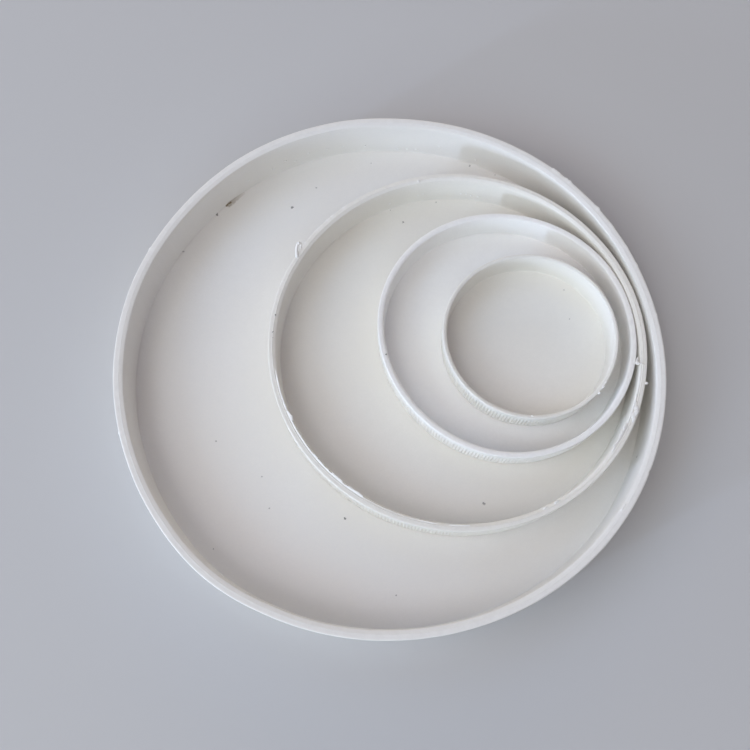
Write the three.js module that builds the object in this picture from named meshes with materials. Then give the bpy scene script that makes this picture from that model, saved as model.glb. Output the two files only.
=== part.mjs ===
// Nested set of four blanking caps for the ends of plastic drain pipe.
// Millimetres, +Z up. The origin is the centre of the largest cap's underside.
// Each cap is one moulding: a flat round floor with a short rim wall around it, open side up.
// The caps lie inside one another, each pushed against one side of the cap that holds it.
import * as THREE from 'three';

// Each cap slips over a pipe: its bore is the pipe's outside diameter plus a small clearance
// that opens towards the mouth.
const MOUTH_CLEARANCE = 0.3;
const REST_GAP = 0.3;

// Outer wall, from the bottom up: a smooth foot, a band of fine grip ribs, a smooth collar.
// The ribs are finer than a functional model needs, so their band stands at its middle depth.
const RIB_DEPTH = 0.3;
const FOOT_HEIGHT = 1.2;
const FOOT_BEVEL = 0.4;
const COLLAR_HEIGHT = 2.2;
const FLOOR_FILLET = 0.8;
const ARC_STEPS = 2;
const FACET_LENGTH = 7;
const FACETS_PER_QUARTER_MIN = 10;

// pipe: outside diameter of the pipe that the cap fits. wall: rim thickness at the mouth.
// lip: radius of the mouth's outer edge, and width of the bevel on its inner edge.
// offset and bearing: where the cap's centre lies, from the centre of the cap that holds it.
const CAPS = [
  { pipe: 160, wall: 2.95, floor: 2.7, depth: 15.6, lip: 0.7, offset: 0, bearing: 0, color: 0xdcdddb },
  { pipe: 110, wall: 2.3, floor: 2.3, depth: 12.4, lip: 0.55, offset: 21.5, bearing: 16, color: 0xdbd8cf },
  { pipe: 75, wall: 1.85, floor: 2.0, depth: 9.9, lip: 0.45, offset: 15.3, bearing: 17.4, color: 0xe2e4e6 },
  { pipe: 50, wall: 1.2, floor: 1.8, depth: 9.9, lip: 0.35, offset: 7.8, bearing: -10.3, color: 0xdddad4 },
];

// Points of a round stretch about (radius, height), between two angles in degrees.
function arc(radius, height, size, fromAngle, toAngle) {
  const points = [];
  for (let step = 0; step <= ARC_STEPS; step++) {
    const angle = THREE.MathUtils.degToRad(fromAngle + (toAngle - fromAngle) * step / ARC_STEPS);
    points.push(new THREE.Vector2(radius + size * Math.cos(angle), height + size * Math.sin(angle)));
  }
  return points;
}

// Half section of one cap: from the axis along the underside, up the outer wall, over the lip,
// down the bore and back along the floor to the axis.
function capProfile({ pipe, wall, floor, depth, lip }) {
  const boreRadius = pipe / 2;
  const mouthRadius = boreRadius + MOUTH_CLEARANCE;
  const outerRadius = mouthRadius + wall;
  const ribRadius = outerRadius - RIB_DEPTH / 2;
  const footRadius = outerRadius - RIB_DEPTH;
  const height = floor + depth;
  return [
    new THREE.Vector2(0, 0),
    new THREE.Vector2(footRadius - FOOT_BEVEL, 0),
    new THREE.Vector2(footRadius, FOOT_BEVEL),
    new THREE.Vector2(footRadius, FOOT_HEIGHT),
    new THREE.Vector2(ribRadius, FOOT_HEIGHT),
    new THREE.Vector2(ribRadius, height - COLLAR_HEIGHT),
    new THREE.Vector2(outerRadius, height - COLLAR_HEIGHT),
    ...arc(outerRadius - lip, height - lip, lip, 0, 90),
    new THREE.Vector2(mouthRadius + lip, height),
    new THREE.Vector2(mouthRadius, height - lip),
    ...arc(boreRadius - FLOOR_FILLET, floor + FLOOR_FILLET, FLOOR_FILLET, 0, -90),
    new THREE.Vector2(0, floor),
  ];
}

// A LatheGeometry turns about +Y, so the cap is turned to stand on +Z.
function capGeometry(cap) {
  const facetsPerQuarter = Math.round(Math.PI * cap.pipe / FACET_LENGTH / 4);
  const facets = 4 * Math.max(facetsPerQuarter, FACETS_PER_QUARTER_MIN);
  const geometry = new THREE.LatheGeometry(capProfile(cap), facets);
  geometry.rotateX(Math.PI / 2);
  return geometry;
}

function capMesh(cap) {
  const material = new THREE.MeshStandardMaterial({ color: cap.color, roughness: 0.45, metalness: 0 });
  const mesh = new THREE.Mesh(capGeometry(cap), material);
  mesh.name = `cap_${cap.pipe}`;
  return mesh;
}

// Each cap is placed on the floor of the one before it, in that cap's own frame.
const capSet = new THREE.Group();
let holder = capSet;
let floorUnder = 0;
for (const cap of CAPS) {
  const place = new THREE.Group();
  const bearing = THREE.MathUtils.degToRad(cap.bearing);
  place.position.set(cap.offset * Math.cos(bearing), cap.offset * Math.sin(bearing), floorUnder);
  place.add(capMesh(cap));
  holder.add(place);
  holder = place;
  floorUnder = cap.floor + REST_GAP;
}

export default capSet;
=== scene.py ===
"""Nested set of four blanking caps for the ends of plastic drain pipe, on a pale studio floor.

Shapes are worked out in millimetres in the CAD frame, and turned into metres as each mesh is made.
Bearings are in degrees, anticlockwise from +X as seen from above. Heights of a cap's own detail are
over its underside.
"""
import math
from collections import namedtuple

import bpy
import numpy as np
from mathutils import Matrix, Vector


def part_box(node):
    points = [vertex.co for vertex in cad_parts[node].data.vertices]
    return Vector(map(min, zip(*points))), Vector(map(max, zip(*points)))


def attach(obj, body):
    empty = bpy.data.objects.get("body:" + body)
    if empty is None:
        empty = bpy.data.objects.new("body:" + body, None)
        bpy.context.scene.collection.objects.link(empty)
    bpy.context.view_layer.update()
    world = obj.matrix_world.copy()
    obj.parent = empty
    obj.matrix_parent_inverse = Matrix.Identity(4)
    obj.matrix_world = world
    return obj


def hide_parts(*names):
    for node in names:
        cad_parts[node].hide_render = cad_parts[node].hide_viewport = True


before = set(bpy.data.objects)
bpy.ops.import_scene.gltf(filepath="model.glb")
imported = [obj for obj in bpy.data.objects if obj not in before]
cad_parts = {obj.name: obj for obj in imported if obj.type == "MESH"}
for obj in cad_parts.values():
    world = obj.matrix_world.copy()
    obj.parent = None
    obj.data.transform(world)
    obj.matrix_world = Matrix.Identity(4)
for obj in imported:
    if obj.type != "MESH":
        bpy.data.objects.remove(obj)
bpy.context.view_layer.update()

MM = 0.001
TURN = 2 * math.pi

# Section of the caps, as in the CAD. The CAD node gives the outer radius, the underside and the top.
MOUTH_CLEARANCE = 0.3
RIB_DEPTH = 0.3
FOOT_HEIGHT = 1.2
FOOT_BEVEL = 0.4
COLLAR_HEIGHT = 2.2
# The grip ribs, which only this model has. They fade out over a short run at both ends, and the wall
# leans in a little towards the foot.
RIB_RUN_OUT = 0.5
WALL_DRAFT = 0.15
STEPS_PER_RIB = 6
# Floor and underside need far fewer spokes than the ribs do: one per rib, and one in eight near the middle.
RIBS_PER_SPOKE = 8
LIP_STEPS = 6
CORNER_FILLET = 0.35
FILLET_STEPS = 4
WALL_ROWS = 6
# The injection point: a shallow round well in the underside with the stub of the sprue in it.
GATE_RADIUS = 3.2
GATE_DEPTH = 0.5
STUB_RADIUS = 1.1
STUB_HEIGHT = 0.3
# The cut land round the mouth is slightly wavy. The top of the bore opens out in a steep lead-in.
LAND_WAVE = 0.02
LEAD_IN_DEPTH = 1.1
LEAD_IN_WIDTH = 0.22
# The ragged flash on the bevel stands up to this height, leans in, and droops inwards beyond it.
FLASH_HEIGHT = 0.5
FLASH_LEAN = 0.25
FLASH_DROOP = 0.75
# Random curves round a turn: lowest and highest number of waves, and how fast the shorter ones fade.
LAND_WAVES = (20, 140, 0.3)
FRAY_WAVES = (60, 400, 0.5)
FLASH_WAVES = (50, 400, 0.7)
# Mean share of its size that a bump or the flash has along its length, and how far the curve varies it.
FRAY_SHARE = (1, 0.7)
FLASH_SHARE = (0.9, 0.2)
# Torn plastic is white, and the whitening is also a painted highlight on the raised flash and bumps: fully
# so where a bump or the flash stands out by 1 mm divided by this.
FRAY_WHITENING = 5
FLASH_WHITENING = 4
# A steep spot rises this many times faster than a smooth one, and stays at its full size in between.
STEEPNESS = 5
# The full number of points round the floor ends this far inside the corner.
FLOOR_EDGE = 2.5

# Row of a section: radius and height in mm. rib: share of the rib depth that its ribs stand out by.
# fray: share of the frayed lip's bumps that it takes. ridge: share of the flash's reach.
# spokes: how many ribs share one point, or 0 where each rib has STEPS_PER_RIB points.
# The last two fields: marks for the material, 0 to 1, for dirt with painted shade in the inside corner and
# at the foot, and for the cut rim.
Row = namedtuple("Row", "radius height rib fray ridge spokes soil cut", defaults=(0, 0, 0, 0, 0, 0))
# A local bump, or a hollow if its size is negative: bearing of its middle and half its width in degrees,
# and its size in mm.
Spot = namedtuple("Spot", "bearing half_width size")
# A speck of dirt: its place on the cap, its diameter in mm, and how dark it is from 0 to 1.
Speck = namedtuple("Speck", "bearing radius height size tone")


class Cap:
    """One cap: its place and outline from the CAD node, and the detail that only this model has.

    lip: radius of the mouth's outer edge. bevel: width and depth of the slope inside the rim.
    waves and bends: how far it is out of round, in mm: whole waves round the turn as (order, cosine,
    sine), and local bends. shift: how far the cap has crept from its CAD place, in mm. crest: height of
    the fine line that the cutter left at the top of the bevel. flash: reach of the ragged fin along the
    bevel. fray: bumps on the lip.
    """

    def __init__(self, pipe, floor, lip, bevel, ribs, tint, waves, bends=(), shift=(0, 0), crest=0.02,
                 flash=(), fray=()):
        self.name = f"cap_{pipe}"
        low, high = (np.array(corner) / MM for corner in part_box(self.name))
        self.centre = (low + high)[:2] / 2 + shift
        self.base = low[2]
        self.height = high[2] - low[2]
        self.outer = (high[0] - low[0]) / 2
        self.bore = pipe / 2
        self.mouth = self.bore + MOUTH_CLEARANCE
        self.floor = floor
        self.lip = lip
        self.bevel_width, self.bevel_depth = bevel
        self.ribs = ribs
        self.tint = tint
        self.waves = waves
        self.bends = bends
        self.crest = crest
        self.flash = flash
        self.fray = fray

    def stretch(self, angles):
        """How much the cap is out of round at some angles, in mm."""
        waves = sum(a * np.cos(order * angles) + b * np.sin(order * angles) for order, a, b in self.waves)
        return waves + spots_at(angles, self.bends)

    def point(self, bearing, radius, height):
        """Place in mm, in the CAD frame, of a point of the cap."""
        angle = math.radians(bearing)
        reach = radius + self.stretch(angle) * radius / self.outer
        x, y = self.centre + reach * np.array((math.cos(angle), math.sin(angle)))
        return np.array((x, y, self.base + height))


CAPS = {
    160: Cap(
        160, floor=2.7, lip=0.38, bevel=(1.25, 0.38), ribs=504, tint=(0.89, 0.875, 0.84),
        waves=((2, 0.58, 0.15), (3, 0.20, -0.12), (4, -0.10, -0.10)),
        bends=(Spot(45, 30, 0.3), Spot(88, 17, -0.3), Spot(146, 22, -0.45), Spot(203, 18, -0.15),
               Spot(233, 16, 0.5), Spot(312, 40, 0.2)),
        flash=(Spot(328.6, 0.8, 0.3),),
        fray=(Spot(34.7, 1.8, 0.1), Spot(39.5, 2.2, 0.2), Spot(48.3, 1.5, 0.22), Spot(51.2, 1.4, 0.2),
              Spot(52.4, 0.8, 0.3), Spot(28.5, 0.9, 0.08), Spot(24, 0.7, 0.1), Spot(12, 0.7, 0.08),
              Spot(156.8, 0.8, 0.15), Spot(198.5, 0.6, 0.15), Spot(337.8, 0.8, -0.15),
              Spot(353, 0.7, -0.1)),
    ),
    110: Cap(
        110, floor=2.3, lip=0.34, bevel=(1.0, 0.5), ribs=344, tint=(0.89, 0.87, 0.81), crest=0.09,
        waves=((2, 0.26, -0.21), (3, -0.08, -0.07)),
        bends=(Spot(16, 30, 0.3),),
        flash=(Spot(216, 25.5, 0.5), Spot(206.6, 1.8, 0.55), Spot(221.8, 0.9, 0.4), Spot(225.2, 2.8, 0.15),
               Spot(231, 2.2, 0.55), Spot(238.2, 2.8, 0.55), Spot(253, 13, 0.2), Spot(262, 3.0, 0.1),
               Spot(271.5, 3.2, 0.35), Spot(298, 0.6, 0.5), Spot(302, 0.7, 0.7), Spot(316, 10, 0.1),
               Spot(326.5, 1.0, 0.4), Spot(331, 4.4, 0.75), Spot(331.5, 1.4, 0.4), Spot(334.6, 1.2, 0.4),
               Spot(340.5, 5.0, 0.4), Spot(352, 8.0, 0.2)),
        fray=(Spot(130, 3, 0.12), Spot(136, 2.5, 0.15), Spot(143, 12, 0.12), Spot(148, 1.8, 0.2),
              Spot(163, 14, 0.08)),
    ),
    75: Cap(
        75, floor=2.0, lip=0.3, bevel=(0.7, 0.35), ribs=240, tint=(0.965, 0.96, 0.935), shift=(0.62, 0.25),
        waves=((2, 0.18, -0.80), (3, -0.08, 0.22)),
        bends=(Spot(15, 28, -0.25),),
    ),
    50: Cap(
        50, floor=1.8, lip=0.25, bevel=(0.45, 0.25), ribs=160, tint=(0.88, 0.865, 0.81),
        shift=(-0.2, -0.05),
        waves=((0, 0.12, 0), (2, 0.20, -0.12), (3, -0.08, 0.04)),
        fray=(Spot(30, 1.5, -0.15), Spot(325, 3, 0.12)),
    ),
}


# ---- shape of one cap -------------------------------------------------------------------------------

def arc_rows(radius, height, size, start, end, steps, **marks):
    """Rows on a round stretch about (radius, height), between two angles in degrees."""
    rows = []
    for step in range(steps + 1):
        angle = math.radians(start + (end - start) * step / steps)
        rows.append(Row(radius + size * math.cos(angle), height + size * math.sin(angle), **marks))
    return rows


def outside_rows(cap):
    """Foot, ribs and collar, from the underside's edge up to the lip."""
    foot = cap.outer - RIB_DEPTH - WALL_DRAFT
    rib_low = FOOT_HEIGHT
    rib_high = cap.height - COLLAR_HEIGHT
    rows = [
        Row(foot - FOOT_BEVEL - 0.1, 0),
        Row(foot - FOOT_BEVEL, 0.02),
        Row(foot - 0.05, FOOT_BEVEL - 0.05),
        Row(foot, FOOT_BEVEL + 0.08),
        # Painted shade with dirt: these foot rows are darkened where the cap stands on the floor below it.
        Row(foot, rib_low, soil=0.15),
        Row(foot, rib_low + RIB_RUN_OUT / 2, rib=0.7, soil=0.15),
    ]
    for share in (0, 0.33, 0.67, 1):
        height = rib_low + RIB_RUN_OUT + share * (rib_high - rib_low - 2 * RIB_RUN_OUT)
        rows.append(Row(foot + share * WALL_DRAFT, height, rib=1))
    rows += [
        Row(cap.outer - 0.7 * RIB_DEPTH, rib_high - RIB_RUN_OUT / 2, rib=0.7),
        Row(cap.outer, rib_high),
        Row(cap.outer, (rib_high + cap.height - cap.lip) / 2),
    ]
    return rows


def rim_rows(cap):
    """Lip, land and inner bevel, slightly crowned. The cutter left a fine crest where land and bevel
    meet, and a ragged fin of flash along the bevel."""
    start = cap.outer - cap.lip
    edge = cap.mouth + cap.bevel_width
    rows = arc_rows(start, cap.height - cap.lip, cap.lip, 0, 90, LIP_STEPS, fray=1)
    for share, drop in ((0.15, 0), (0.45, 0.01), (0.75, 0.03)):
        rows.append(Row(start + share * (edge - start), cap.height - drop, cut=1, fray=0.7 - 0.7 * share))
    shoulder = cap.height - 0.05
    rows += [
        Row(edge + 0.10, shoulder, cut=1),
        Row(edge + 0.04, shoulder + cap.crest, cut=1),
        Row(edge - 0.02, shoulder + cap.crest, cut=1),
        Row(edge - 0.08, shoulder - 0.02, cut=1),
    ]
    for share, ridge in ((0.3, 0), (0.4, 0.4), (0.52, 1), (0.66, 1), (0.78, 0.3), (0.9, 0)):
        drop = (cap.bevel_depth - 0.05) * (share + share * share) / 2
        rows.append(Row(edge - share * cap.bevel_width, shoulder - drop, ridge=ridge, cut=1 - share))
    rows.append(Row(cap.mouth + 0.02, cap.height - cap.bevel_depth - 0.03))
    return rows


def inside_rows(cap):
    """Lead-in, bore, tight corner and floor, in to the middle."""
    lead_in = cap.height - cap.bevel_depth - 0.1
    top = lead_in - LEAD_IN_DEPTH
    low = cap.floor + CORNER_FILLET
    rows = [Row(cap.mouth, lead_in)]
    for step in range(WALL_ROWS):
        share = step / (WALL_ROWS - 1)
        radius = cap.mouth - LEAD_IN_WIDTH + share * (cap.bore + LEAD_IN_WIDTH - cap.mouth)
        rows.append(Row(radius, top + share * (low + 0.15 - top)))
    # Painted shade with dirt: the fillet rows darken the inside corner.
    rows += arc_rows(cap.bore - CORNER_FILLET, low, CORNER_FILLET, 0, -90, FILLET_STEPS, soil=1)
    corner = cap.bore - CORNER_FILLET
    rows.append(Row(corner - 0.3, cap.floor, soil=0.3))
    rows.append(Row(corner - 0.9, cap.floor))
    rows.append(Row(corner - FLOOR_EDGE, cap.floor, spokes=1))
    rows += disc_rows(corner - FLOOR_EDGE, cap.floor)
    return rows


def disc_rows(rim, height):
    """Rows of a flat disc inside radius rim: one spoke to a rib, then one to RIBS_PER_SPOKE ribs."""
    rows = [Row(rim * share, height, spokes=1) for share in (0.92, 0.82, 0.72, 0.6)]
    rows += [Row(rim * share, height, spokes=RIBS_PER_SPOKE) for share in (0.5, 0.38, 0.26, 0.14)]
    return rows


def underside_rows(cap):
    """From the middle of the underside out to the foot: sprue stub, gate well and flat underside."""
    stub = GATE_DEPTH - STUB_HEIGHT
    well = [
        (STUB_RADIUS * 0.5, stub),
        (STUB_RADIUS, stub + 0.05),
        (STUB_RADIUS + 0.1, GATE_DEPTH - 0.04),
        (STUB_RADIUS + 0.4, GATE_DEPTH),
        (GATE_RADIUS - 0.3, GATE_DEPTH),
        (GATE_RADIUS, GATE_DEPTH - 0.1),
        (GATE_RADIUS + 0.3, 0.05),
        (GATE_RADIUS + 0.6, 0),
    ]
    rim = cap.outer - RIB_DEPTH - WALL_DRAFT - FOOT_BEVEL - 2
    rows = [Row(radius, height, spokes=RIBS_PER_SPOKE) for radius, height in well]
    rows += [row for row in reversed(disc_rows(rim, 0)) if row.radius > GATE_RADIUS + 1]
    rows.append(Row(rim, 0, spokes=1))
    return rows


def random_wave(angles, seed, lowest, highest, falloff):
    """Smooth random curve round a turn, mostly between -1 and 1, of whole waves from lowest to highest."""
    dice = np.random.default_rng(seed)
    total = np.zeros_like(angles)
    power = 0
    for order in range(lowest, highest + 1):
        size = (order / lowest) ** -falloff
        total += size * np.cos(order * angles + dice.uniform(0, TURN))
        power += size * size / 2
    return total / math.sqrt(power) / 2


def spots_at(angles, spots, steep=False):
    """Sum at each angle of some spots, which fade smoothly to nothing or, if steep, end nearly square."""
    sizes = np.zeros_like(angles)
    for spot in spots:
        off = np.degrees((angles - math.radians(spot.bearing) + math.pi) % TURN - math.pi)
        share = np.clip(1 - (off / spot.half_width) ** 2, 0, 1)
        sizes += spot.size * (np.minimum(STEEPNESS * share, 1) if steep else share ** 2)
    return sizes


def row_points(cap, row):
    """Points of one row round the cap, in metres, and how far the plastic is whitened at each, 0 to 1: torn
    plastic, and a painted highlight on the raised fray and flash.
    """
    count = cap.ribs * STEPS_PER_RIB if row.spokes == 0 else cap.ribs // row.spokes
    angles = np.arange(count) * TURN / count
    radius = row.radius + cap.stretch(angles) * row.radius / cap.outer
    height = np.full(count, float(row.height))
    torn_and_glint = np.zeros(count)
    if row.rib:
        radius += row.rib * RIB_DEPTH * (0.5 + 0.5 * np.cos(cap.ribs * angles))
    if row.fray:
        mean, change = FRAY_SHARE
        ragged = mean + change * random_wave(angles, cap.ribs + 1, *FRAY_WAVES)
        frayed = row.fray * ragged * spots_at(angles, cap.fray)
        radius += frayed
        # Whitened where frayed: torn plastic with a painted highlight.
        torn_and_glint += np.clip(FRAY_WHITENING * frayed, 0, 1)
    if row.cut:
        height += LAND_WAVE * random_wave(angles, round(row.radius * 10), *LAND_WAVES)
    if row.ridge:
        mean, change = FLASH_SHARE
        ragged = mean + change * random_wave(angles, cap.ribs, *FLASH_WAVES)
        reach = row.ridge * ragged * spots_at(angles, cap.flash, steep=True)
        height += np.minimum(reach, FLASH_HEIGHT)
        radius -= FLASH_LEAN * reach + FLASH_DROOP * np.maximum(reach - FLASH_HEIGHT, 0)
        # Whitened along the flash: torn plastic with a painted highlight.
        torn_and_glint += np.clip(FLASH_WHITENING * reach, 0, 1)
    x = (cap.centre[0] + radius * np.cos(angles)) * MM
    y = (cap.centre[1] + radius * np.sin(angles)) * MM
    z = (cap.base + height) * MM
    return np.stack((x, y, z), axis=1), torn_and_glint


def join_rows(start_a, count_a, start_b, count_b):
    """Faces between two rows of points, where one count is a whole multiple of the other."""
    if count_a < count_b:
        return [face[::-1] for face in join_rows(start_b, count_b, start_a, count_a)]
    step = count_a // count_b
    faces = []
    for b in range(count_b):
        fine = [start_a + (b * step + k) % count_a for k in range(step + 1)]
        faces.append(fine + [start_b + (b + 1) % count_b, start_b + b])
    return faces


def fan(middle, start, count):
    """Triangles from a row in to a middle point."""
    return [(start + k, start + (k + 1) % count, middle) for k in range(count)]


def add_mark(mesh, name, values):
    """Gives each point of a mesh a value that its material reads by name."""
    mesh.attributes.new(name, "FLOAT", "POINT").data.foreach_set("value", values)


def cap_mesh(cap):
    """Closed mesh of a cap: from the middle of its underside round the rim to the middle of its floor."""
    rows = underside_rows(cap) + outside_rows(cap) + rim_rows(cap) + inside_rows(cap)
    rings, torn_and_glint = zip(*(row_points(cap, row) for row in rows))
    middles = [np.array([[*cap.centre, cap.base + row.height]]) * MM for row in (rows[0], rows[-1])]
    starts = np.cumsum([1] + [len(ring) for ring in rings]).tolist()
    faces = [face[::-1] for face in fan(0, starts[0], len(rings[0]))]
    for i in range(len(rings) - 1):
        faces += join_rows(starts[i], len(rings[i]), starts[i + 1], len(rings[i + 1]))
    faces += fan(starts[-1], starts[-2], len(rings[-1]))
    mesh = bpy.data.meshes.new(cap.name)
    mesh.from_pydata(np.concatenate([middles[0], *rings, middles[1]]).tolist(), [], faces)
    add_mark(mesh, "torn_and_glint", np.concatenate([[0], *torn_and_glint, [0]]))
    for mark in ("soil", "cut"):
        values = [np.full(len(ring), float(getattr(row, mark))) for row, ring in zip(rows, rings)]
        add_mark(mesh, mark, np.concatenate([[0], *values, [0]]))
    mesh.shade_smooth()
    return mesh


# ---- burrs, nibs and the curled shaving -------------------------------------------------------------

# Nibs: how far the middle of one lies behind the wall, and how thick it is for its width. Each: bearing
# and height.
NIB_SINK = 0.05
NIB_FLATNESS = 0.5
NIB_SIZES = {160: 0.42, 110: 0.38}
NIBS = {
    160: ((127.7, 7.9), (121.0, 7.0), (117.7, 8.6), (115.3, 6.1), (111.8, 8.3), (107.1, 7.6), (103.2, 7.5),
          (97.8, 5.9), (89.7, 4.4), (87.5, 4.5), (85.3, 4.9), (79.7, 8.4), (70.4, 6.1)),
    110: ((113.9, 6.1), (103.8, 6.5), (102.1, 7.2), (88.9, 6.0), (87.2, 6.2), (85.4, 5.3), (82.9, 5.2)),
}
# Burrs: bearing, radius, height over the rim, and half lengths out, along and up.
BURRS = {
    110: ((103.9, 56.0, 0, (0.5, 0.3, 0.2)), (349.8, 57.8, -0.3, (0.6, 0.5, 0.3)),
          (337.6, 56.9, 0, (0.5, 0.9, 0.15)), (338.8, 56.3, -0.05, (0.8, 1.0, 0.2)),
          (340.0, 56.9, 0, (0.7, 1.1, 0.2)), (341.4, 56.5, -0.05, (0.8, 0.9, 0.2)),
          (342.6, 56.0, -0.1, (0.5, 0.9, 0.2))),
    75: ((347.4, 40.2, 0.15, (0.8, 0.6, 0.25)), (347.2, 41.4, 0.6, (0.8, 0.25, 0.15)),
         (348.8, 40.0, 0.1, (0.3, 0.8, 0.2))),
    50: ((319.3, 26.6, -0.15, (0.5, 0.6, 0.25)), (324.0, 26.4, -0.1, (0.4, 0.8, 0.22)),
         (327.5, 26.3, -0.1, (0.3, 0.5, 0.2)), (270.6, 25.6, -0.1, (0.3, 0.35, 0.25))),
}


def blob(centre, along, size, seed, sides=10, bands=7):
    """Points and faces of a lumpy closed blob. size is its half lengths: along, across and up, in mm."""
    across = np.cross((0, 0, 1), along)
    across = across / np.linalg.norm(across)
    up = np.cross(along, across)
    dice = np.random.default_rng(seed)
    points = [centre + up * size[2] * -1]
    for band in range(1, bands):
        tilt = math.pi * band / bands
        for side in range(sides):
            turn = TURN * side / sides
            lump = dice.uniform(0.75, 1.25)
            shape = (math.sin(tilt) * math.cos(turn), math.sin(tilt) * math.sin(turn), -math.cos(tilt))
            axes = zip((along, across, up), size, shape)
            points.append(centre + sum(axis * length * part for axis, length, part in axes) * lump)
    points.append(centre + up * size[2])
    faces = [face[::-1] for face in fan(0, 1, sides)]
    for band in range(bands - 2):
        faces += join_rows(1 + band * sides, sides, 1 + (band + 1) * sides, sides)
    faces += fan(len(points) - 1, len(points) - 1 - sides, sides)
    return points, faces


def strand(knots, thickness, sides=6, steps=24):
    """Points and faces of a strand through some knots, thick at its root and thin at its tip, in mm."""
    knots = np.array(knots)
    times = np.linspace(0, len(knots) - 1, steps)
    path = np.stack([np.interp(times, range(len(knots)), knots[:, axis]) for axis in range(3)], axis=1)
    for _ in range(3):
        path[1:-1] = (path[:-2] + 2 * path[1:-1] + path[2:]) / 4
    points = [path[0]]
    for step in range(1, steps - 1):
        along = path[step + 1] - path[step - 1]
        along /= np.linalg.norm(along)
        across = np.cross(along, (0.1, 0.2, 1.0))
        across /= np.linalg.norm(across)
        up = np.cross(across, along)
        radius = thickness / 2 * (1 - 0.75 * step / steps)
        for side in range(sides):
            turn = TURN * side / sides
            points.append(path[step] + radius * (across * math.cos(turn) + 0.5 * up * math.sin(turn)))
    points.append(path[-1])
    faces = [face[::-1] for face in fan(0, 1, sides)]
    for step in range(steps - 3):
        faces += join_rows(1 + step * sides, sides, 1 + (step + 1) * sides, sides)
    faces += fan(len(points) - 1, len(points) - 1 - sides, sides)
    return points, faces


def joined_mesh(name, parts):
    """One mesh, in metres, of several (points, faces) in mm."""
    points = []
    faces = []
    for part_points, part_faces in parts:
        faces += [[index + len(points) for index in face] for face in part_faces]
        points += [tuple(point * MM) for point in part_points]
    mesh = bpy.data.meshes.new(name)
    mesh.from_pydata(points, [], faces)
    # Every trimming is whitened all over: torn plastic on the burrs and the shaving, and a painted
    # highlight on these and on the nibs.
    add_mark(mesh, "torn_and_glint", np.ones(len(points)))
    mesh.shade_smooth()
    return mesh


def outward(bearing):
    angle = math.radians(bearing)
    return np.array((math.cos(angle), math.sin(angle), 0.0))


def burrs(cap, spots):
    """Blobs on the rim. Each spot: bearing, radius, height over the rim, and half lengths out, along
    and up."""
    return [blob(cap.point(bearing, radius, cap.height + above), outward(bearing), size, seed)
            for seed, (bearing, radius, above, size) in enumerate(spots)]


def wall_nibs(cap, spots, size):
    """Low pips on the bore's wall, at some bearings and heights, half sunk in it."""
    radius = cap.bore + NIB_SINK
    shape = (NIB_FLATNESS * size, size, size)
    return [blob(cap.point(bearing, radius, height), outward(bearing), shape, seed)
            for seed, (bearing, height) in enumerate(spots)]


# The shaving is this thick at its root.
SHAVING_THICKNESS = 1.2


def shaving(cap):
    """The curled shaving that stands off the outside of the 110 cap's rim: a loop with a thick far end."""
    knots = ((152.9, -0.9, -0.1), (151.7, 0.0, 0.3), (150.5, 0.8, 0.5), (149.5, 1.3, 0.7),
             (148.6, 1.5, 0.8), (148.2, 0.9, 0.7), (148.7, 0.3, 0.6), (150.0, -0.3, 0.2))
    path = [cap.point(bearing, cap.outer + out, cap.height + up) for bearing, out, up in knots]
    bulb = blob(cap.point(148.7, cap.outer + 1.2, cap.height + 0.8), outward(120), (0.7, 0.45, 0.35), 7)
    return [strand(path, SHAVING_THICKNESS), bulb]


# ---- materials --------------------------------------------------------------------------------------

def add(tree, kind, settings=None, **inputs):
    """Adds a node. Each input is a value or another node's output. Its name has _ for a space, or is _
    and its number."""
    node = tree.nodes.new(kind)
    for name, value in (settings or {}).items():
        setattr(node, name, value)
    for name, value in inputs.items():
        socket = node.inputs[int(name[1:])] if name[1:].isdigit() else node.inputs[name.replace("_", " ")]
        if isinstance(value, bpy.types.NodeSocket):
            tree.links.new(value, socket)
        else:
            socket.default_value = value
    return node


def math_node(tree, operation, *values):
    inputs = {f"_{index}": value for index, value in enumerate(values)}
    return add(tree, "ShaderNodeMath", {"operation": operation}, **inputs).outputs[0]


def noise(tree, coords, scale, detail=3.0, roughness=0.55):
    return add(tree, "ShaderNodeTexNoise", Vector=coords, Scale=scale, Detail=detail,
               Roughness=roughness).outputs["Fac"]


def spread(tree, value, low, high, to_low=0.0, to_high=1.0):
    """A value from low..high mapped to to_low..to_high, and held at the ends."""
    return add(tree, "ShaderNodeMapRange", {"interpolation_type": "SMOOTHSTEP"}, Value=value, From_Min=low,
               From_Max=high, To_Min=to_low, To_Max=to_high).outputs["Result"]


def blend(tree, factor, first, second):
    """Colour mix. The inputs 6 and 7 are the node's two colours."""
    node = add(tree, "ShaderNodeMix", {"data_type": "RGBA"}, _0=factor)
    for index, colour in ((6, first), (7, second)):
        if isinstance(colour, bpy.types.NodeSocket):
            tree.links.new(colour, node.inputs[index])
        else:
            node.inputs[index].default_value = (*colour, 1)
    return node.outputs[2]


def speck_mask(tree, coords, cap, specks):
    """How dark the nearest of some specks is at each point."""
    mask = None
    for speck in specks:
        place = tuple(cap.point(speck.bearing, speck.radius, speck.height) * MM)
        node = add(tree, "ShaderNodeVectorMath", {"operation": "DISTANCE"}, _0=coords, _1=place)
        away = node.outputs["Value"]
        edge = speck.size / 2 * MM
        one = spread(tree, away, 0.55 * edge, 1.3 * edge, speck.tone, 0.0)
        mask = one if mask is None else math_node(tree, "MAXIMUM", mask, one)
    return mask


# Colours of torn plastic, which is also a painted highlight on raised fins and trimmings, of dirt with
# painted shade in the corner and at the foot, and of stains and specks.
TORN_AND_GLINT_TINT = (0.95, 0.94, 0.91)
DIRT_AND_SHADE_TINT = (0.24, 0.19, 0.13)
STAIN_TINT = (0.17, 0.105, 0.025)
SPECK_TINT = (0.035, 0.03, 0.025)
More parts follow.
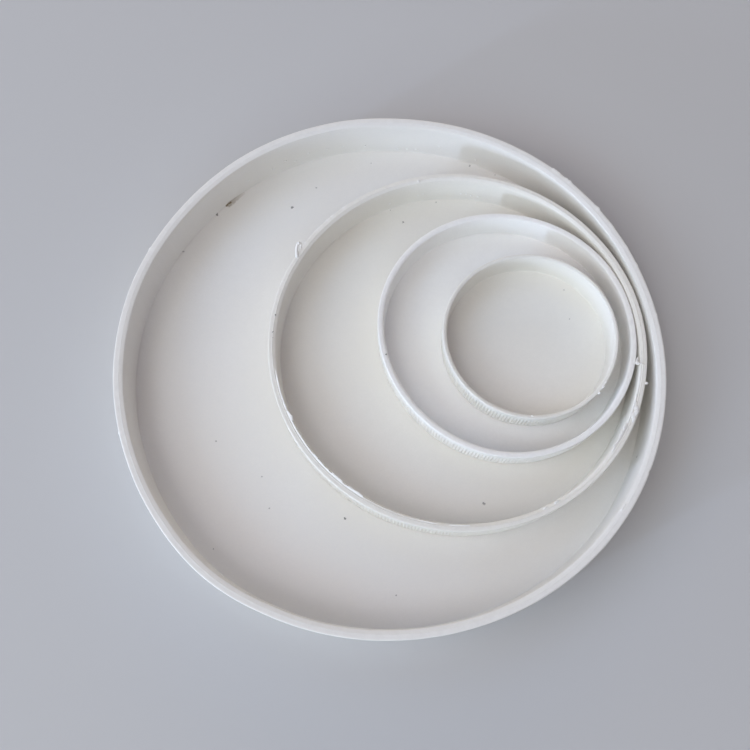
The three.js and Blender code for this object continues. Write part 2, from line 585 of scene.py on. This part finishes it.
# The edges of specks and stains are ragged: each place is moved by up to half of this, in metres.
SPECK_WOBBLE = 0.0009
# Relief in mm: the mould's fine skin, upright drag marks on the walls, and the cutter's chatter.
SKIN_RELIEF = 0.012
DRAG_RELIEF = 0.02
CHATTER_RELIEF = 0.03


def mesh_mark(tree, name):
    """A mark that the mesh carries, 0 to 1."""
    return add(tree, "ShaderNodeAttribute", {"attribute_name": name}).outputs["Fac"]


def wobbled(tree, coords):
    """The coordinates, each moved a little at random."""
    wobble = add(tree, "ShaderNodeTexNoise", Vector=coords, Scale=1300.0, Detail=2.0).outputs["Color"]
    moved = add(tree, "ShaderNodeVectorMath", {"operation": "MULTIPLY_ADD"}, _0=wobble,
                _1=(SPECK_WOBBLE,) * 3, _2=coords).outputs["Vector"]
    return add(tree, "ShaderNodeVectorMath", {"operation": "SUBTRACT"}, _0=moved,
               _1=(SPECK_WOBBLE / 2,) * 3).outputs["Vector"]


def plastic_colour(tree, cap, coords, streak, patches, cut):
    """Two near whites in clouds with a little streak and grain, then the cut rim, whitened torn edges that
    are also a painted highlight, and dirt with painted shade in the corner and at the foot.
    """
    tint = np.array(cap.tint)
    cloud = noise(tree, coords, 24)
    grain = noise(tree, coords, 1500, 2)
    colour = blend(tree, spread(tree, cloud, 0.35, 0.65), tuple(tint * (0.985, 0.98, 0.965)), tuple(tint))
    colour = blend(tree, spread(tree, streak, 0.3, 0.7, 0.0, 0.4), colour, tuple(tint * 0.96))
    colour = blend(tree, spread(tree, grain, 0.25, 0.75, 0.0, 0.5), colour, tuple(tint * 0.95))
    cut_tint = blend(tree, spread(tree, patches, 0.35, 0.65), tuple(tint * 0.955), tuple(tint * 0.99))
    colour = blend(tree, cut, colour, cut_tint)
    # Whitening: torn plastic, and a painted highlight on raised fins and trimmings.
    colour = blend(tree, mesh_mark(tree, "torn_and_glint"), colour, TORN_AND_GLINT_TINT)
    # Dirt with painted shade: patchy darkening of the rows marked at the corner and the foot.
    dirt_and_shade_patches = spread(tree, noise(tree, coords, 60, 4), 0.4, 0.8, 0.0, 0.12)
    return blend(tree, math_node(tree, "MULTIPLY", mesh_mark(tree, "soil"), dirt_and_shade_patches), colour, DIRT_AND_SHADE_TINT)


def plastic_relief(tree, coords, streak, patches, cut):
    """Normal with the relief of the skin, the drag marks and the cutter's chatter."""
    skin = math_node(tree, "MULTIPLY", noise(tree, coords, 900, 3), SKIN_RELIEF)
    drag = math_node(tree, "MULTIPLY", streak, DRAG_RELIEF)
    chatter = math_node(tree, "MULTIPLY", math_node(tree, "MULTIPLY", patches, cut), CHATTER_RELIEF)
    height = math_node(tree, "ADD", math_node(tree, "ADD", skin, drag), chatter)
    return add(tree, "ShaderNodeBump", Strength=0.8, Distance=MM, Height=height).outputs["Normal"]


def plastic(cap, specks=(), stains=()):
    """Satin white PVC: clouded, faintly streaked on the walls, dirty and darkened by painted shade in the
    corner and at the foot, rough where cut, and whitened where torn and where a painted highlight lies on
    raised fins and trimmings."""
    material = bpy.data.materials.new(f"plastic_{cap.name}")
    material.use_nodes = True
    tree = material.node_tree
    shader = tree.nodes["Principled BSDF"]
    coords = add(tree, "ShaderNodeTexCoord").outputs["Object"]
    tall = add(tree, "ShaderNodeMapping", Vector=coords, Scale=(1, 1, 0.08)).outputs["Vector"]
    streak = noise(tree, tall, 380)
    patches = noise(tree, coords, 520, 4)
    cut = mesh_mark(tree, "cut")
    colour = plastic_colour(tree, cap, coords, streak, patches, cut)
    rough = spread(tree, patches, 0.3, 0.7, 0.38, 0.5)
    rough = math_node(tree, "ADD", rough, math_node(tree, "MULTIPLY", cut, 0.15))
    ragged = wobbled(tree, coords)
    if stains:
        colour = blend(tree, speck_mask(tree, ragged, cap, stains), colour, STAIN_TINT)
    if specks:
        specked = speck_mask(tree, ragged, cap, specks)
        colour = blend(tree, specked, colour, SPECK_TINT)
        rough = math_node(tree, "MAXIMUM", rough, specked)
    tree.links.new(colour, shader.inputs["Base Color"])
    tree.links.new(rough, shader.inputs["Roughness"])
    tree.links.new(plastic_relief(tree, coords, streak, patches, cut), shader.inputs["Normal"])
    return material


SPECKS = {
    160: (
        Speck(138.3, 79.7, 2.8, 0.9, 0.8), Speck(150.7, 79.7, 2.8, 0.8, 0.5),
        Speck(121.3, 66.3, 2.7, 0.9, 0.7), Speck(112.6, 69.8, 2.7, 0.5, 0.45),
        Speck(96.6, 75.3, 2.7, 0.5, 0.4), Speck(204.9, 58.1, 2.7, 0.6, 0.45),
        Speck(222.8, 51.2, 2.7, 0.5, 0.4), Speck(232.1, 56.1, 2.7, 0.5, 0.4),
        Speck(256.1, 48.5, 2.7, 0.75, 0.8), Speck(273.9, 70.1, 2.7, 0.5, 0.5),
        Speck(228.5, 76.2, 2.7, 0.5, 0.5), Speck(71.4, 79.1, 2.7, 0.7, 0.5),
        Speck(64.8, 79.3, 2.7, 0.5, 0.5), Speck(229.8, 80.1, 4.0, 0.6, 0.5),
        Speck(341.7, 80.1, 8.7, 0.8, 0.5), Speck(97.6, 80.2, 6.6, 0.5, 0.6),
    ),
    110: (
        Speck(111.2, 48.9, 2.3, 0.7, 0.6), Speck(281.8, 48.1, 2.3, 0.9, 0.6),
        Speck(97.4, 53.8, 2.3, 0.6, 0.35), Speck(113.8, 54.4, 2.4, 0.5, 0.5),
        Speck(173.1, 56.3, 14.7, 0.55, 0.9), Speck(178.8, 56.3, 14.7, 0.45, 0.8),
        Speck(180.6, 56.2, 14.7, 0.4, 0.5),
    ),
    75: (Speck(194.0, 38.4, 11.9, 0.55, 0.8),),
    50: (Speck(56.4, 22.5, 1.8, 0.6, 0.4), Speck(32.8, 16.5, 1.8, 0.5, 0.4)),
}
# The stain in the largest cap's corner: a faint smear that deepens, and its dark end.
STAINS = {
    160: (
        *(Speck(130.0 + 0.4 * step, 79.7, 2.75, 1.0 + 0.1 * step, 0.12 + 0.035 * step)
          for step in range(12)),
        *(Speck(133.9 + 0.3 * step, 79.9, 2.8, 0.9, 0.9) for step in range(5)),
    ),
}


# ---- studio -----------------------------------------------------------------------------------------

FLOOR_RADIUS = 1.4
FLOOR_SIDES = 128


def make_floor():
    angles = [TURN * side / FLOOR_SIDES for side in range(FLOOR_SIDES)]
    corners = [(FLOOR_RADIUS * math.cos(angle), FLOOR_RADIUS * math.sin(angle), 0) for angle in angles]
    mesh = bpy.data.meshes.new("studio_floor")
    mesh.from_pydata(corners, [], [range(FLOOR_SIDES)])
    floor = bpy.data.objects.new("studio_floor", mesh)
    bpy.context.scene.collection.objects.link(floor)
    material = bpy.data.materials.new("studio_floor")
    material.use_nodes = True
    shader = material.node_tree.nodes["Principled BSDF"]
    shader.inputs["Base Color"].default_value = (0.58, 0.58, 0.58, 1)
    shader.inputs["Roughness"].default_value = 0.8
    mesh.materials.append(material)


def make_camera():
    camera = bpy.data.objects.new("camera", bpy.data.cameras.new("camera"))
    bpy.context.scene.collection.objects.link(camera)
    camera.data.lens = 44.71
    camera.location = (-0.0029, -0.0833, 0.2882)
    camera.rotation_mode = "ZYX"
    camera.rotation_euler = [math.radians(angle) for angle in (16.09, 0.26, 2.28)]
    camera.data.clip_start = 0.01
    bpy.context.scene.camera = camera


# Banks of soft panels round the object. Bearings of the panels' middles, their elevation, width and
# height, all in degrees, and the RGB brightness of each.
Bank = namedtuple("Bank", "name bearings elevation width height light")
PANEL_DISTANCE = 2.0
BANKS = (
    Bank("window_left", (190,), 33, 24, 22, (2.7, 2.6, 2.7)),
    Bank("window_middle", (214,), 33, 24, 22, (1.8, 2.7, 3.5)),
    Bank("window_right", (262,), 33, 24, 22, (2.0, 2.3, 2.4)),
    Bank("window_top", (190, 214, 238, 262), 58, 24, 26, (1.0, 1.0, 1.0)),
    Bank("window_foot", (229,), 14, 12, 12, (3.2, 4.1, 5.1)),
    Bank("slit", (213.5,), 8, 2, 8, (130, 160, 220)),
    Bank("back_low", (94,), 20, 60, 20, (1.5, 1.3, 1.0)),
    Bank("back", (94,), 50, 60, 30, (0.55, 0.7, 0.9)),
    Bank("sides", (154, 334), 50, 60, 30, (0.25, 0.35, 0.6)),
)
# The studio beyond the panels: a pale backdrop near the horizon, which meets the floor's far edge, and
# a dim warm ceiling. Between the two heights, each the sine of an elevation, one fades into the other.
BACKDROP = (0.24, 0.235, 0.235)
BACKDROP_TOP = 0.12
CEILING = (0.12, 0.06, 0.01)
CEILING_EDGE = 0.32


def make_panel(bank, bearing):
    size = [2 * PANEL_DISTANCE * math.tan(math.radians(angle / 2)) for angle in (bank.width, bank.height)]
    brightest = max(bank.light)
    lamp = bpy.data.lights.new(bank.name, "AREA")
    lamp.shape = "RECTANGLE"
    lamp.size, lamp.size_y = size
    lamp.energy = math.pi * size[0] * size[1] * brightest
    lamp.color = [part / brightest for part in bank.light]
    bearing = math.radians(bearing)
    elevation = math.radians(bank.elevation)
    holder = bpy.data.objects.new(bank.name, lamp)
    holder.location = (
        PANEL_DISTANCE * math.cos(elevation) * math.cos(bearing),
        PANEL_DISTANCE * math.cos(elevation) * math.sin(bearing),
        PANEL_DISTANCE * math.sin(elevation),
    )
    holder.rotation_euler = (math.pi / 2 - elevation, 0, bearing + math.pi / 2)
    holder.visible_camera = False
    bpy.context.scene.collection.objects.link(holder)


def make_lights():
    world = bpy.data.worlds.new("studio")
    world.use_nodes = True
    tree = world.node_tree
    direction = add(tree, "ShaderNodeTexCoord").outputs["Generated"]
    height = add(tree, "ShaderNodeSeparateXYZ", Vector=direction).outputs["Z"]
    colour = blend(tree, spread(tree, height, BACKDROP_TOP, CEILING_EDGE), BACKDROP, CEILING)
    tree.links.new(colour, tree.nodes["Background"].inputs["Color"])
    bpy.context.scene.world = world
    for bank in BANKS:
        for bearing in bank.bearings:
            make_panel(bank, bearing)


# ---- the object -------------------------------------------------------------------------------------

def place(name, mesh, pipe, material):
    """Adds a piece that rides with one cap and has its finish."""
    piece = bpy.data.objects.new(name, mesh)
    bpy.context.scene.collection.objects.link(piece)
    mesh.materials.append(material)
    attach(piece, f"cap_{pipe}")
    return piece


def make_caps():
    """Adds the four mouldings, and returns the finish of each cap."""
    finishes = {}
    for pipe, cap in CAPS.items():
        finishes[pipe] = plastic(cap, SPECKS[pipe], STAINS.get(pipe, ()))
        moulding = place(f"{cap.name}_moulding", cap_mesh(cap), pipe, finishes[pipe])
        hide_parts(cap.name)
    return finishes


def make_trimmings(finishes):
    """What the moulding and the cutting left on the caps."""
    trimmings = {
        "cap_160_nibs": (160, wall_nibs(CAPS[160], NIBS[160], NIB_SIZES[160])),
        "cap_110_nibs": (110, wall_nibs(CAPS[110], NIBS[110], NIB_SIZES[110])),
        "cap_110_burrs": (110, burrs(CAPS[110], BURRS[110])),
        "cap_110_shaving": (110, shaving(CAPS[110])),
        "cap_75_burr": (75, burrs(CAPS[75], BURRS[75])),
        "cap_50_burrs": (50, burrs(CAPS[50], BURRS[50])),
    }
    for name, (pipe, parts) in trimmings.items():
        place(name, joined_mesh(name, parts), pipe, finishes[pipe])


def main():
    bpy.context.scene.view_settings.view_transform = "Standard"
    make_camera()
    make_floor()
    make_lights()
    finishes = make_caps()
    make_trimmings(finishes)


main()
